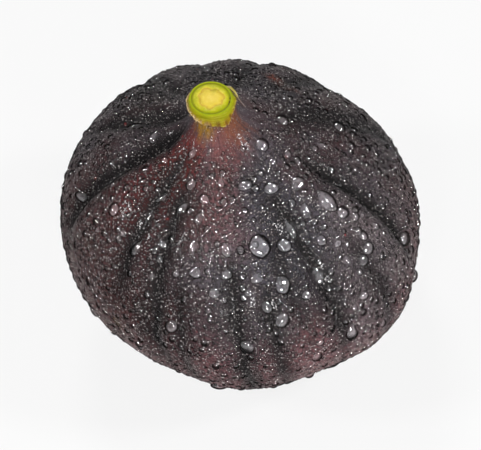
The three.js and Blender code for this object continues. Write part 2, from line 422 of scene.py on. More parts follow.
def object_space(tree):
    return result(tree, "ShaderNodeTexCoord", output="Object")


def kept_place(tree):
    """Where on the piece a point of it is, for its material."""
    return result(tree, "ShaderNodeAttribute", attribute_name="place", output="Vector")


def kept_number(tree, name):
    """A number that the points of a piece keep under a name, for its material."""
    return Field(tree, result(tree, "ShaderNodeAttribute", attribute_name=name, output="Fac"))


def roughen(tree, shader, height, strength, depth):
    """Relief on a shader, whose height of 1 stands for the depth in millimetres."""
    bump = {"Strength": strength, "Distance": depth * MM, "Height": height}
    fill(tree, shader.inputs["Normal"], result(tree, "ShaderNodeBump", bump))


def patch_group():
    """A soft patch on the skin: 1 in its middle and 0 outside, with an edge as ragged as is asked."""
    names = ["Azimuth", "Run", "Half width", "Half length", "Ragged"]
    inputs = [("Place", "Vector"), *numbers(*names)]
    tree, given, wanted = new_group("Patch", SHADER, inputs, numbers("Mask"))
    middle, run, wide, long, torn = fields(tree, given, names)
    x, y, at = separate(tree, given["Place"])
    turn = (y.math("ARCTAN2", x).math("DEGREES") - middle).math("WRAP", 180, -180) / wide
    along = (at - run) / long
    ragged = noise(tree, combine(tree, x * 9, y * 9, at * 0.35), 1, 3) - 0.5
    far = (turn * turn + along * along).math("SQRT") + ragged * torn
    fill(tree, wanted["Mask"], fade(far, 0.25, 1.2, 1, 0))
    return tree


CELLS = [("Vector", "Vector"), *numbers("Scale", "Share", "Size")]


def speck_group():
    """Round specks over a surface: 1 on a speck and 0 elsewhere. Share is how many of the cells hold one."""
    tree, given, wanted = new_group("Specks", SHADER, CELLS, numbers("Mask"))
    share, size = fields(tree, given, ("Share", "Size"))
    cells = add_node(tree, "ShaderNodeTexVoronoi", {"Vector": given["Vector"], "Scale": given["Scale"]})
    near = fade(Field(tree, cells.outputs["Distance"]), size * 0.5, size, 1, 0)
    draw, _, _ = separate(tree, cells.outputs["Color"])
    fill(tree, wanted["Mask"], near * draw.math("LESS_THAN", share))
    return tree


def mist_group():
    """Droplets too fine to stand as beads: each one's dome, a rim of painted shade round it and a painted
    glint on its top.
    """
    tree, given, wanted = new_group("Mist", SHADER, CELLS, numbers("Dome", "Rim", "Top"))
    share, size = fields(tree, given, ("Share", "Size"))
    cells = add_node(tree, "ShaderNodeTexVoronoi", {"Vector": given["Vector"], "Scale": given["Scale"]})
    far = Field(tree, cells.outputs["Distance"]) / size
    draw, painted_glint_strength, _ = separate(tree, cells.outputs["Color"])
    holds = draw.math("LESS_THAN", share)
    fill(tree, wanted["Dome"], (1 - far * far).math("MAXIMUM", 0).math("SQRT") * holds)
    fill(tree, wanted["Rim"], fade(far, 0.55, 0.95) * fade(far, 1.0, 1.6, 1, 0) * holds)
    fill(tree, wanted["Top"], fade(far, 0.2, 0.7, 1, 0) * painted_glint_strength * holds)
    return tree


MOTTLE_PARTS = ("Clouds", "Streaks", "Grain")


def mottle_group():
    """The uneven look of grown skin and bark: clouds, streaks that follow the growth, and fine grain."""
    inputs = [("Place", "Vector"), ("Space", "Vector"), *numbers("Cloud size", "Streaks")]
    tree, given, wanted = new_group("Mottle", SHADER, inputs, numbers(*MOTTLE_PARTS))
    x, y, run = separate(tree, given["Place"])
    crowd = Field(tree, given["Streaks"])
    streaky = combine(tree, x * crowd, y * crowd, run * 0.2)
    fill(tree, wanted["Clouds"], noise(tree, given["Space"], given["Cloud size"], 3))
    fill(tree, wanted["Streaks"], noise(tree, streaky, 1, 4, 0.6))
    fill(tree, wanted["Grain"], noise(tree, given["Space"], 1600, 3, 0.7))
    return tree


def specks(tree, space, scale, share, size):
    """The mask of one kind of speck."""
    form = {"Vector": space, "Scale": scale, "Share": share, "Size": size}
    return Field(tree, placed(tree, SPECKS, form)["Mask"])


def mottled(tree, place, space, cloud_size, streaks):
    """The clouds, the streaks and the grain of a surface."""
    form = {"Place": place, "Space": space, "Cloud size": cloud_size, "Streaks": streaks}
    return fields(tree, placed(tree, MOTTLE, form), MOTTLE_PARTS)


PATCH = patch_group()
SPECKS = speck_group()
MIST = mist_group()
MOTTLE = mottle_group()
# Near black: the skin's own darkest colour, and also painted shade in the furrows and round the fine
# droplets.
NEAR_BLACK_AND_SHADE = paint(5, 3, 4)
PURPLE = paint(50, 28, 29)
BLOOM = paint(58, 54, 59)
ROSE_AND_BOUNCE_LIGHT = paint(110, 72, 75)
PATCHES = [
    (214, 34, 46, 22, 0.9, paint(66, 36, 34), 0.75),
    (222, 13, 34, 13, 1.1, paint(64, 14, 14), 0.85),
    (300, 20, 34, 16, 0.9, paint(52, 54, 62), 0.6),
    (270, 30, 18, 11, 1.0, paint(66, 64, 70), 0.3),
    (333, 30, 24, 14, 1.0, paint(98, 90, 93), 0.55),
    (312, 40, 14, 8, 1.0, paint(86, 80, 84), 0.5),
    (24, 19, 8, 9, 1.1, NEAR_BLACK_AND_SHADE, 0.8),
    (139, 15, 13, 10, 1.1, NEAR_BLACK_AND_SHADE, 0.75),
    (284, 30, 5, 4, 1.4, NEAR_BLACK_AND_SHADE, 0.75),
    (306, 29, 4, 6, 1.4, NEAR_BLACK_AND_SHADE, 0.75),
    (297, 19, 6, 5, 1.4, NEAR_BLACK_AND_SHADE, 0.5),
    (238, 36, 5, 9, 1.3, NEAR_BLACK_AND_SHADE, 0.7),
    (268, 12, 20, 12, 1.0, paint(98, 62, 62), 0.55),
    (232, 6, 26, 7, 1.2, paint(90, 24, 16), 0.75),
    (285, 2, 60, 6, 1.3, paint(98, 52, 48), 0.6),
    (246, -1.5, 30, 4.6, 1.1, paint(112, 84, 8), 0.85),
    (318, -1.5, 44, 6, 1.2, paint(92, 50, 22), 0.8),
    # Painted shadow: the near-black patch just under the front of the stub's skirt, where it hangs over the
    # neck.
    (256, -0.9, 7, 1.1, 0.4, paint(20, 10, 5), 0.95),
    (56, 16.5, 13, 1.6, 1.1, paint(128, 56, 16), 0.8),
    (244, 35, 3.2, 1.8, 1.2, paint(84, 38, 8), 0.7),
    (228, 40, 2, 1.4, 1.2, paint(100, 84, 38), 0.6),
]  # azimuth, run, half width in degrees, half length in mm, raggedness, colour and how much of it shows

MIST_LAYERS = [
    (1300, 0.8, 0.3), (1900, 0.9, 0.34), (2800, 0.95, 0.38),
]  # cells in a metre, the share of them that are wet, and a droplet's radius as a share of its cell
# The colour of the painted glint on top of each fine droplet.
PAINTED_MIST_GLINT = (0.88, 0.83, 0.81)


def skin_material():
    """Waxy skin: near black in the furrows, partly as painted shade, purple on the ribs under a grey bloom,
    rosier at the base, partly as painted bounce light, and wet with painted fine droplets, shade and glints.
    """
    material, tree, shader = new_material("ripe fig skin")
    place = kept_place(tree)
    furrow = kept_number(tree, "furrow")
    under = kept_number(tree, "under a drop")
    space = object_space(tree)
    _, behind, run = separate(tree, place)
    clouds, streaks, grain = mottled(tree, place, space, 110, 20)

    bloom = fade(clouds + streaks * 0.5 + grain * 0.3 - run * 0.004, 0.62, 1.05)
    colour = mix(tree, bloom, PURPLE, BLOOM)
    # Rosier and paler towards the base: partly the skin's own colour, partly painted light bounced up from
    # the floor.
    colour = mix(tree, fade(run, 29, 50) * 0.9, colour, ROSE_AND_BOUNCE_LIGHT)
    for azimuth, at, wide, long, ragged, tint, share in PATCHES:
        where = {"Place": place, "Azimuth": azimuth, "Run": at, "Half width": wide, "Half length": long}
        mask = Field(tree, placed(tree, PATCH, {**where, "Ragged": ragged})["Mask"])
        colour = mix(tree, mask * share, colour, tint)
    colour = mix(tree, fade(streaks, 0.3, 0.5, 0.4, 0), colour, NEAR_BLACK_AND_SHADE)
    # Painted shade: the skin darkens broadly round the furrows and goes near black along their beds, partly
    # the furrows' own darker colour and partly the shade that falls in them.
    valley_shade = fade(furrow ** 0.25 + streaks * 0.4, 0.45, 1.15)
    colour = mix(tree, valley_shade * 0.85, colour, NEAR_BLACK_AND_SHADE)
    colour = mix(tree, fade(furrow + grain * 0.3 + streaks * 0.5, 0.6, 1.05, 0, 0.95), colour, NEAR_BLACK_AND_SHADE)
    colour = mix(tree, fade(grain, 0.5, 0.75, 0, 0.2), colour, paint(84, 70, 73))
    colour = mix(tree, specks(tree, space, 420, 0.12, 0.16) * 0.5, colour, paint(128, 34, 30))

    wet = fade(run, 1, 9, 0.2, 1) * fade(run, 58, 70, 1, 0.1) * (1 - fade(under, 0.05, 0.4))
    # Painted light: the skin under a drop is lighter in patches, standing in for the light that the drop
    # focuses onto it.
    painted_focused_light = fade(under, 0.1, 0.5) * fade(noise(tree, space, 1000, 1), 0.42, 0.66, 0.03, 0.15)
    colour = mix(tree, painted_focused_light, colour, paint(168, 164, 166))
    dome = grain * 0
    top = grain * 0
    for scale, share, size in MIST_LAYERS:
        drops = placed(tree, MIST, {"Vector": space, "Scale": scale, "Share": share, "Size": size})
        dome = dome.math("MAXIMUM", Field(tree, drops["Dome"]))
        top = top.math("MAXIMUM", Field(tree, drops["Top"]))
        # Painted shade: a dark rim round each fine droplet.
        colour = mix(tree, Field(tree, drops["Rim"]) * wet * 0.85, colour, NEAR_BLACK_AND_SHADE)
    dome = dome * wet
    # Painted sheen: the fine droplets' domes are paler, standing in for the light that the water mirrors.
    colour = mix(tree, dome * (1 - valley_shade * 0.7) * 0.18, colour, paint(124, 106, 105))
    # Painted highlight: a pale glint on top of each fine droplet, stronger towards the base and on the far
    # side.
    painted_glint_strength = fade(run, 28, 46, 0.42, 0.78) + fade(behind, -0.1, 0.7, 0, 0.25)
    colour = mix(tree, top * wet * (1 - valley_shade * 0.5) * painted_glint_strength, colour, PAINTED_MIST_GLINT)

    looks = {"Base Color": colour, "Roughness": fade(bloom + grain * 0.5, 0, 1.2, 0.5, 0.75)}
    mirror = {"Coat Weight": fade(dome, 0, 0.15, 0, 0.08), "Coat Roughness": 0.06, "Coat IOR": 1.6}
    set_inputs(tree, shader, {**looks, **mirror, "Specular IOR Level": 0.08})
    roughen(tree, shader, grain * 0.15 + streaks * 0.25 + dome, 1.0, 0.26)
    return material


outline = outline_object()
sheet_form = {"Outline": outline, "Meridians": MERIDIANS, "Rings": RINGS}
skin = grown("fruit_skin", skin_tree(skin_material()), sheet_form)
dress(skin, "fruit")

# Eye
# The opening under the base, closed by two rings of small dry scales. They grow from its lips, point to its
# middle and overlap, and they stay clear of the surface that the fig stands on.
EYE_RINGS = [
    {"Count": 9, "Reach": 2.9, "Height": 1.75, "Width": 3.2, "Length": 3.8, "Turn": 0.0},
    {"Count": 6, "Reach": 1.4, "Height": 2.1, "Width": 2.6, "Length": 3.0, "Turn": 0.5},
]
EYE_THICKNESS = 0.7
EYE_DIP = math.radians(16)  # how far each scale's tip points up into the eye


def tapered_bead(tree, segments, rings, taper):
    """A ball of radius 1 that narrows towards its low-y end, which is left as narrow as 1 less the taper."""
    form = {"Segments": segments, "Rings": rings, "Radius": 1.0}
    ball = result(tree, "GeometryNodeMeshUVSphere", form)
    x, y, z = separate(tree, position(tree))
    narrow = 1 - (1 - y) * (taper / 2)
    formed = combine(tree, x * narrow, y, z * narrow)
    return result(tree, "GeometryNodeSetPosition", {"Geometry": ball, "Position": formed})


def random_value(tree, low, high, seed):
    node = add_node(tree, "FunctionNodeRandomValue", {2: low, 3: high, "Seed": seed}, data_type="FLOAT")
    return Field(tree, node.outputs[1])


def set_on(tree, points, shape, turn, size, **more):
    """A copy of a shape on each point, turned and sized."""
    inputs = {"Points": points, "Instance": shape, "Rotation": turn, "Scale": size, **more}
    return result(tree, "GeometryNodeInstanceOnPoints", inputs)


def eye_tree(material):
    """One ring of scales about the fig's axis, each a flat bead that narrows towards the middle."""
    names = ["Reach", "Height", "Width", "Length", "Turn"]
    inputs = [("Count", "Int"), *numbers(*names)]
    tree, given, wanted = new_group("Eye scales", GEOMETRY, inputs, [("Geometry", "Geometry")])
    reach, height, width, length, turn = fields(tree, given, names)
    count = Field(tree, given["Count"])
    ring = result(tree, "GeometryNodeMeshCircle", {"Vertices": given["Count"], "Radius": 1.0})
    index = Field(tree, result(tree, "GeometryNodeInputIndex"))
    draw = random_value(tree, -0.5, 0.5, 4)
    angle = (index + turn + draw * 0.35) / count * math.tau
    level = height + draw * 0.3
    place = on_axis(tree, reach * angle.math("COSINE"), reach * angle.math("SINE"), level)
    points = result(tree, "GeometryNodeSetPosition", {"Geometry": ring, "Position": place})
    spin = combine(tree, EYE_DIP * -1, draw * 0.3, angle - math.pi / 2)
    size = combine(tree, width * (MM / 2), length * (MM / 2), EYE_THICKNESS * MM / 2)
    scales = set_on(tree, points, tapered_bead(tree, 20, 10, 0.6), spin, size)
    fill(tree, wanted["Geometry"], finished(tree, scales, material))
    return tree


def eye_material():
    """Dry scales: rosy brown with darker grain."""
    material, tree, shader = new_material("eye scales")
    space = object_space(tree)
    grain = noise(tree, space, 900, 4, 0.7)
    colour = mix(tree, fade(grain, 0.35, 0.65), paint(84, 44, 36), paint(132, 84, 64))
    colour = mix(tree, specks(tree, space, 1100, 0.3, 0.3) * 0.7, colour, paint(58, 30, 26))
    set_inputs(tree, shader, {"Base Color": colour, "Roughness": fade(grain, 0.3, 0.7, 0.5, 0.75)})
    roughen(tree, shader, grain, 0.5, 0.15)
    return material


EYE = eye_tree(eye_material())
for number, form in enumerate(EYE_RINGS, 1):
    scales = grown(f"eye_scales_{number}", EYE, form)
    dress(scales, "fruit")

# Stem
# The stub that is left where the fig was cut off. Its green bark was torn, so its skirt ends in a ragged
# edge round the neck, with a few fibres and one loose thread. Its pale pith shows on the cut face. Heights
# are from the neck's top.
CUT = 3.15  # height of the cut face
CUT_TILT = 0.07  # rise of the cut face for each millimetre away from the near side
WALL_RADIUS = 3.6
INNER_BARK = 2.75  # radius of the bark's inner side on the cut face
PITH_LINE = 1.95  # radius of the wavy line in the pith
WALL_ROWS = 16
STUB_SIDES = 216
TORN_EDGE = [
    (0, 2.3), (45, 1.9), (90, 1.8), (135, 1.9), (180, 2), (215, 2), (240, 1.4), (252, 0.95), (262, 1),
    (275, 0.9), (290, 0.55), (297, 0.45), (305, 0.7), (320, 1.6), (335, 2.3), (360, 2.3),
]  # azimuth and height of the skirt's torn edge
ZONES = 6  # the stub's zones, from the middle of the pith at 0 to the torn edge at 5 and its inner side at 6


def wave(azimuth, *waves):
    """A sum of waves round the stub, each given as its count, its height and its start."""
    return sum(high * math.sin(math.radians(count * azimuth + start)) for count, high, start in waves)


def edge_height(azimuth):
    """The height of the torn edge, smooth between the measured places and frayed by short waves."""
    for (start, low), (end, high) in zip(TORN_EDGE, TORN_EDGE[1:]):
        if start <= azimuth <= end:
            share = (azimuth - start) / (end - start)
            level = low + (high - low) * share * share * (3 - 2 * share)
    return level + wave(azimuth, (17, 0.06, 0), (29, 0.05, 70), (47, 0.05, 20), (71, 0.035, 110))


def stub_outline(azimuth):
    """The stub's outline at one azimuth: zone, radius and height, from inside the torn edge to the pith."""
    edge = edge_height(azimuth)
    neck = 3.8 - 0.12 * edge
    flare = 0.26 + wave(azimuth, (1, 0.16, 220), (5, 0.05, 30), (11, 0.04, 0), (31, 0.025, 50))
    rows = [
        (6, neck - 0.5, edge + 0.7), (5.5, neck - 0.02, edge + 0.12), (5, neck + 0.12 + flare, edge - 0.02),
    ]
    start = edge + 0.1
    for i in range(WALL_ROWS):
        share = i / (WALL_ROWS - 1)
        height = start + (CUT - 0.4 - start) * share
        twist = 40 * math.sin(math.radians(azimuth * 1.5))
        strand = wave(height * 150 + twist, (2, 0.045, 0), (5, 0.03, 40))
        radius = WALL_RADIUS + (neck + 0.22 + flare - WALL_RADIUS) * (1 - share) ** 1.6
        rows.append((4.9 - 0.9 * share, radius + strand * math.sin(math.pi * min(share + 0.15, 1)), height))
    line = PITH_LINE + wave(azimuth, (7, 0.13, 15), (3, 0.14, 60), (5, 0.07, 200), (11, 0.04, 90))
    middle_ring = (INNER_BARK + line) / 2
    rows += [
        (3.6, WALL_RADIUS - 0.08, CUT - 0.2), (3.2, WALL_RADIUS - 0.26, CUT - 0.07), (2.8, 3.2, CUT - 0.1),
        (2.4, 3.08, CUT - 0.17), (2.2, 2.98, CUT - 0.15), (1.9, INNER_BARK, CUT - 0.03),
        (1.6, middle_ring, CUT), (1.2, line + 0.16, CUT - 0.01), (1, line, CUT - 0.09),
        (0.85, line - 0.16, CUT + 0.01), (0.5, 1.1, CUT + 0.02), (0.25, 0.5, CUT),
    ]
    return rows


LEAN_ACROSS = Vector((LEAN.x, LEAN.y, 0))


def stem_place(azimuth, radius, height):
    """A point of the stub in metres, from its azimuth and its radius and height over the neck's top."""
    turn = math.radians(azimuth)
    z = NECK_HEIGHT + height
    tilt = CUT_TILT * radius * math.sin(turn) * min(max((height - 1.5) / 1.2, 0), 1)
    upright = Vector((radius * math.cos(turn), radius * math.sin(turn), z + tilt))
    return upright * MM + FOOT + LEAN_ACROSS * z * MM


def ring_faces(rings, sides, closing):
    """The faces of a closed surface: rings of points from the underside up, then a point at each end."""
    faces = []
    for ring in range(rings - 1):
        low = ring * sides
        high = low + sides
        faces += [(low + i, low + (i + 1) % sides, high + (i + 1) % sides, high + i) for i in range(sides)]
    first, last = closing
    top = (rings - 1) * sides
    faces += [(first, (i + 1) % sides, i) for i in range(sides)]
    faces += [(last, top + i, top + (i + 1) % sides) for i in range(sides)]
    return faces


def stub_mesh():
    columns = [(360 * i / STUB_SIDES, stub_outline(360 * i / STUB_SIDES)) for i in range(STUB_SIDES)]
    rings = len(columns[0][1])
    points = []
    zones = []
    places = []
    for row in range(rings):
        for azimuth, rows in columns:
            zone, radius, height = rows[row]
            points.append(stem_place(azimuth, radius, height))
            zones.append(zone / ZONES)
            places += [math.cos(math.radians(azimuth)), math.sin(math.radians(azimuth)), height]
    for height, zone in ((1.6, 1), (CUT, 0)):
        points.append(stem_place(0, 0, height))
        zones.append(zone)
        places += [0, 0, height]
    mesh = bpy.data.meshes.new("stem_stub")
    mesh.from_pydata(points, [], ring_faces(rings, STUB_SIDES, (len(points) - 2, len(points) - 1)))
    mesh.attributes.new("zone", "FLOAT", "POINT").data.foreach_set("value", zones)
    mesh.attributes.new("place", "FLOAT_VECTOR", "POINT").data.foreach_set("vector", places)
    mesh.shade_smooth()
    return mesh


# Painted shade: the darker olive of zones 2.2 to 2.5 in the groove of the cut face, and the dark brown at
# 5.6 on the underside of the torn skirt.
STEM_COLOURS = [
    (0, (172, 152, 66)), (0.7, (164, 144, 44)), (1, (144, 116, 32)), (1.3, (156, 146, 34)),
    (1.8, (134, 134, 4)), (2.2, (98, 98, 0)), (2.5, (88, 90, 0)), (2.9, (112, 122, 0)), (3.5, (116, 118, 0)),
    (4.3, (112, 106, 0)), (4.8, (106, 80, 2)), (5, (150, 126, 76)), (5.6, (40, 26, 12)),
]  # zone of the stub and colour


def stem_material():
    """Fresh bark and pith: the colour follows the stub's zones, with strands and small brown specks. The
    groove of the cut face and the underside of the torn skirt are painted dark as shade.
    """
    material, tree, shader = new_material("green stem bark and pith")
    place = kept_place(tree)
    zone = kept_number(tree, "zone")
    space = object_space(tree)
    clouds, streaks, grain = mottled(tree, place, space, 420, 5)
    x, y, level = separate(tree, place)
    strands = noise(tree, combine(tree, x * 1.2, y * 1.2, level * 5), 1, 4, 0.65)
    stops = [(at / ZONES, paint(*tint)) for at, tint in STEM_COLOURS]
    colour = ramp(tree, zone + (grain - 0.5) * 0.02, stops)
    colour = mix(tree, fade(clouds, 0.45, 0.7, 0, 0.45), colour, paint(100, 110, 6))
    wall = fade(zone, 0.6, 0.68)
    colour = mix(tree, fade(strands, 0.52, 0.66, 0, 0.6) * wall, colour, paint(140, 134, 54))
    colour = mix(tree, fade(strands, 0.36, 0.44, 0.6, 0) * wall, colour, paint(74, 72, 4))
    brown = specks(tree, space, 1900, 0.3, 0.3) * fade(streaks, 0.4, 0.6, 0, 0.6)
    colour = mix(tree, brown, colour, paint(104, 74, 20))
    pith = fade(zone, 0.3, 0.36, 1, 0)
    colour = mix(tree, fade(grain, 0.42, 0.66, 0, 0.2) * pith, colour, paint(188, 178, 96))
    frayed = fade(zone, 0.72, 0.8) * fade(streaks, 0.42, 0.56)
    colour = mix(tree, frayed * 0.75, colour, paint(70, 32, 6))
    left = (x * -1).math("MAXIMUM", 0) * fade(zone, 0.74, 0.82)
    colour = mix(tree, left * fade(grain, 0.4, 0.55), colour, paint(176, 156, 120))
    looks = {"Base Color": colour, "Roughness": fade(grain, 0.3, 0.7, 0.5, 0.7), "Specular IOR Level": 0.06}
    depth = {"Subsurface Radius": (0.6 * MM, 0.6 * MM, 0.2 * MM), "Subsurface Scale": 1.0}
    set_inputs(tree, shader, {**looks, **depth, "Subsurface Weight": 0.15})
    roughen(tree, shader, strands * wall + grain * 0.5, 0.5, 0.12)
    return material


def add_piece(name, mesh, material, node):
    """A piece that stands for a solid node, with its material."""
    made = new_object(name, mesh)
    mesh.materials.append(material)
    dress(made, node)
    return made


stub = add_piece("stem_stub", stub_mesh(), stem_material(), "stem")

THREAD = [
    (48, 3.45, 2.7), (34, 3.8, 3.05), (20, 4.05, 2.9), (8, 4.25, 2.3), (2, 4.6, 1.9), (357, 5.1, 1.3),
]  # azimuth, radius and height of the points that the thread bends through
THREAD_WIDE = 0.24
THREAD_TAPER = 0.45
THREAD_SIDES = 10


def thread_mesh():
    """The loose thread of bark: a strip that thins along a smooth curve from the torn edge."""
    curve = bpy.data.curves.new("thread", "CURVE")
    curve.dimensions = "3D"
    curve.bevel_depth = THREAD_WIDE * MM
    curve.bevel_resolution = THREAD_SIDES // 4
    curve.use_fill_caps = True
    spline = curve.splines.new("NURBS")
    spline.use_endpoint_u = True
    spline.order_u = 4
    spline.resolution_u = 12
    spline.points.add(len(THREAD) - 1)
    for i, (point, place) in enumerate(zip(spline.points, THREAD)):
        point.co = (*stem_place(*place), 1)
        point.radius = 1 - THREAD_TAPER * i / (len(THREAD) - 1)
    made = new_object("thread", curve)
    mesh = plain_mesh(made)
    bpy.data.objects.remove(made)
    mesh.materials.clear()
    mesh.shade_smooth()
    return mesh


def thread_material():
    """Thin bark seen from its inner side: yellow-green, and dried brown towards its tip."""
    material, tree, shader = new_material("peeled bark thread")
    space = object_space(tree)
    _, _, z = separate(tree, space)
    root = stem_place(*THREAD[1]).z
    tip = stem_place(*THREAD[-1]).z
    grain = noise(tree, space, 1500, 3, 0.6)
    along = (z - root) / (tip - root)
    colour = mix(tree, fade(along + grain * 0.5, 0.4, 0.85), paint(110, 98, 4), paint(48, 20, 6))
    set_inputs(tree, shader, {"Base Color": colour, "Roughness": fade(grain, 0.3, 0.7, 0.4, 0.65)})
    roughen(tree, shader, grain, 0.4, 0.1)
    return material


add_piece("stem_thread", thread_mesh(), thread_material(), "stem")


def fibre_material():
    """Dry bark, straw coloured and browner in places."""
    material, tree, shader = new_material("dry bark fibre")
    space = object_space(tree)
    grain = noise(tree, space, 1400, 2, 0.6)
    colour = mix(tree, fade(grain, 0.4, 0.6), paint(140, 124, 90), paint(88, 60, 30))
    set_inputs(tree, shader, {"Base Color": colour, "Roughness": fade(grain, 0.3, 0.7, 0.5, 0.8)})
    return material


def kept_value(tree, name, kind="FLOAT"):
    """A value that a geometry's points keep under a name."""
    return result(tree, "GeometryNodeInputNamedAttribute", {"Name": name}, data_type=kind)


def kept_field(tree, name):
    return Field(tree, kept_value(tree, name))


def swayed(tree, geometry, scale, reach):
    """The geometry with its points pushed about by soft noise, so that no two copies are alike."""
    field = {"Vector": position(tree), "Scale": scale, "Detail": 0.0}
    sway = result(tree, "ShaderNodeTexNoise", field, output="Color")
    even = result(tree, "ShaderNodeVectorMath", {0: sway, 1: (0.5, 0.5, 0.5)}, operation="SUBTRACT")
    offset = result(tree, "ShaderNodeVectorMath", {0: even, "Scale": reach * MM}, operation="SCALE")
    return result(tree, "GeometryNodeSetPosition", {"Geometry": geometry, "Offset": offset})


def fibres_tree():
    """Short fibres that hang from the torn edge of the stub and lie out over the neck."""
    inputs = [("Geometry", "Geometry"), *numbers("Share", "Longest", "Width"), ("Seed", "Int")]
    tree, given, wanted = new_group("Bark fibres", GEOMETRY, inputs, [("Geometry", "Geometry")])
    at_edge = kept_field(tree, "zone").math("COMPARE", 5 / ZONES, 0.001)
    chosen = at_edge * random_value(tree, 0.0, 1.0, given["Seed"]).math("LESS_THAN", given["Share"])
    edge = result(tree, "GeometryNodeMeshToPoints", {"Mesh": given["Geometry"], "Selection": chosen})
    x, y, z = separate(tree, position(tree))
    axis = FOOT + LEAN * NECK_HEIGHT * MM
    out_x = (x - axis.x) * 160 + random_value(tree, -0.9, 0.9, 11)
    out_y = (y - axis.y) * 160 + random_value(tree, -0.9, 0.9, 12)
    hang = combine(tree, out_x, out_y, random_value(tree, -1.6, -0.5, 13))
    turn = result(tree, "FunctionNodeAlignRotationToVector", {"Vector": hang}, axis="Z")
    draw = random_value(tree, 0.25, 1.0, 14)
    width = Field(tree, given["Width"]) * (draw * 0.5 + 0.5)
    size = combine(tree, width, width, Field(tree, given["Longest"]) * draw * draw)
    cone = {"Vertices": 6, "Side Segments": 4, "Radius Bottom": 1.0, "Radius Top": 0.15, "Depth": 1.0}
    fibre = result(tree, "GeometryNodeMeshCone", cone, output="Mesh")
    real = result(tree, "GeometryNodeRealizeInstances", {0: set_on(tree, edge, fibre, turn, size)})
    fill(tree, wanted["Geometry"], finished(tree, swayed(tree, real, 1500.0, 0.35), fibre_material()))
    return tree


FIBRES = {"Share": 0.4, "Longest": 0.85 * MM, "Width": 0.06 * MM, "Seed": 3}
dress(grown("stem_fibres", fibres_tree(), FIBRES, stub.data.copy()), "stem")

# Drops of water
# Rain or a spray left them: round beads on the flatter skin and long ones where they ran down the ribs. Each
# is a low dome of clear water with its foot sunk in the skin. The largest are those of the solid fruit.
NEAR_DROPS = [
    (332, 6, 2.4, 2.6), (291, 10, 2.2, 2.8), (307, 12, 2.3, 2.7), (323, 14, 2, 2.8), (327, 19, 4.6, 3.4),
    (328, 22, 2.2, 2.9), (315, 18, 2.6, 2.2), (16, 9, 2.4, 2.6), (259, 12, 1.8, 1.8), (258, 15, 2.6, 2.1),
    (236, 5, 2.2, 1.8), (246, 10, 2, 2), (245, 14, 2.5, 2), (213, 21, 2.4, 2.4), (191, 27, 2, 2.8),
    (162, 15, 1.8, 2.8), (230, 24, 3.4, 2), (256, 20, 2.5, 1.5), (271, 20, 2.6, 2.2), (258, 24, 2.2, 2.2),
    (270, 24, 1.8, 2), (265, 27, 1.9, 2), (286, 20, 4.1, 3.9), (297, 21, 2.6, 2.7), (304, 19, 3.6, 1.8),
    (304, 28, 3.5, 2.5), (290, 27, 3.1, 3), (281, 25, 1.9, 2), (282, 30, 2.1, 2), (286, 33, 2.9, 2.8),
    (297, 30, 1.7, 1.8), (312, 23, 2, 2.1), (328, 27, 1.8, 1.8), (326, 29, 2.2, 2.4), (322, 30, 2.2, 2.2),
    (315, 35, 1.9, 1.8),
]  # azimuth, run, length down the slope and width
SMALL_DROPS = [
    (325, 9, 1.3, 1.4), (331, 24, 1.5, 1.6), (339, 10, 1.3, 1.5), (339, 12, 1.3, 1.8), (356, 14, 1.2, 1.8),
    (272, 9, 1.8, 1.6), (213, 9, 1.3, 1.5), (201, 19, 1, 1.1), (230, 14, 2.8, 0.9), (229, 18, 2.7, 0.8),
    (223, 23, 1.2, 1.2), (211, 26, 1.3, 1.3), (250, 25, 1.3, 1.3), (241, 21, 1.3, 1.6), (240, 27, 1.7, 1),
    (277, 27, 1.5, 1.4), (317, 25, 1.4, 1.5), (320, 26, 1, 1.1), (316, 28, 1.7, 1.2), (328, 26, 1.5, 1.6),
    (335, 28, 1.4, 1.4), (336, 30, 1.1, 1.2), (334, 25, 0.9, 1), (318, 31, 1.5, 1.4), (311, 36, 1.7, 1.4),
    (296, 40, 1.4, 1.4), (304, 37, 1.3, 1),
]
SCATTER = {"seed": 11, "drops": 38, "least": 1.6, "most": 3, "from": 8, "to": 58, "apart": 6.5}
DROP_VALUES = ("azimuth", "run", "length", "width")
BEAD_HEIGHT = 0.31  # height of a drop over its width
RAN_DOWN = 1.12  # a drop longer than this many widths has a tail
WATER_FINISH = {
    "Roughness": 0.05,
    "IOR": 1.333,
    "Transmission Weight": 0.985,
    "Coat Roughness": 0.07,
    "Coat IOR": 1.6,
}
WATER_CLEAR = (0.97, 0.98, 1.0, 1)
# Painted shade: the colour that a drop's steep rim is darkened to, standing in for the light that the water
# bends away.
WATER_RIM_SHADE = (0.12, 0.11, 0.11)  # seen through its steep rim, a drop is dark
WATER_SHADE = (0.55, 0.54, 0.54)  # the light that comes through to the skin
DOWNHILL = (0.02, -0.03, -1)  # the way a drop's long side points


def water_material(name, gleam, steepness):
    """Clear water. Gleam is how much its surface mirrors, and steepness is where its painted dark rim
    begins.
    """
    material, tree, shader = new_material(name)
    for socket, value in WATER_FINISH.items():
        shader.inputs[socket].default_value = value
    shader.inputs["Coat Weight"].default_value = gleam
    steep = Field(tree, result(tree, "ShaderNodeLayerWeight", {"Blend": 0.5}, output="Facing"))
    shader.inputs["Base Color"].default_value = WATER_CLEAR
    shadow = result(tree, "ShaderNodeLightPath", output="Is Shadow Ray")
    clear = result(tree, "ShaderNodeBsdfTransparent", {"Color": WATER_SHADE})
    dark = result(tree, "ShaderNodeBsdfTransparent", {"Color": WATER_RIM_SHADE})
    rim = fade(steep, steepness, steepness * 2, 0, 0.95)
    lens = result(tree, "ShaderNodeMixShader", {0: rim, 1: shader.outputs[0], 2: dark})
    either = result(tree, "ShaderNodeMixShader", {0: shadow, 1: lens, 2: clear})
    fill(tree, tree.nodes["Material Output"].inputs["Surface"], either)
    return material


WATER = water_material("clear water", 0.6, 0.22)


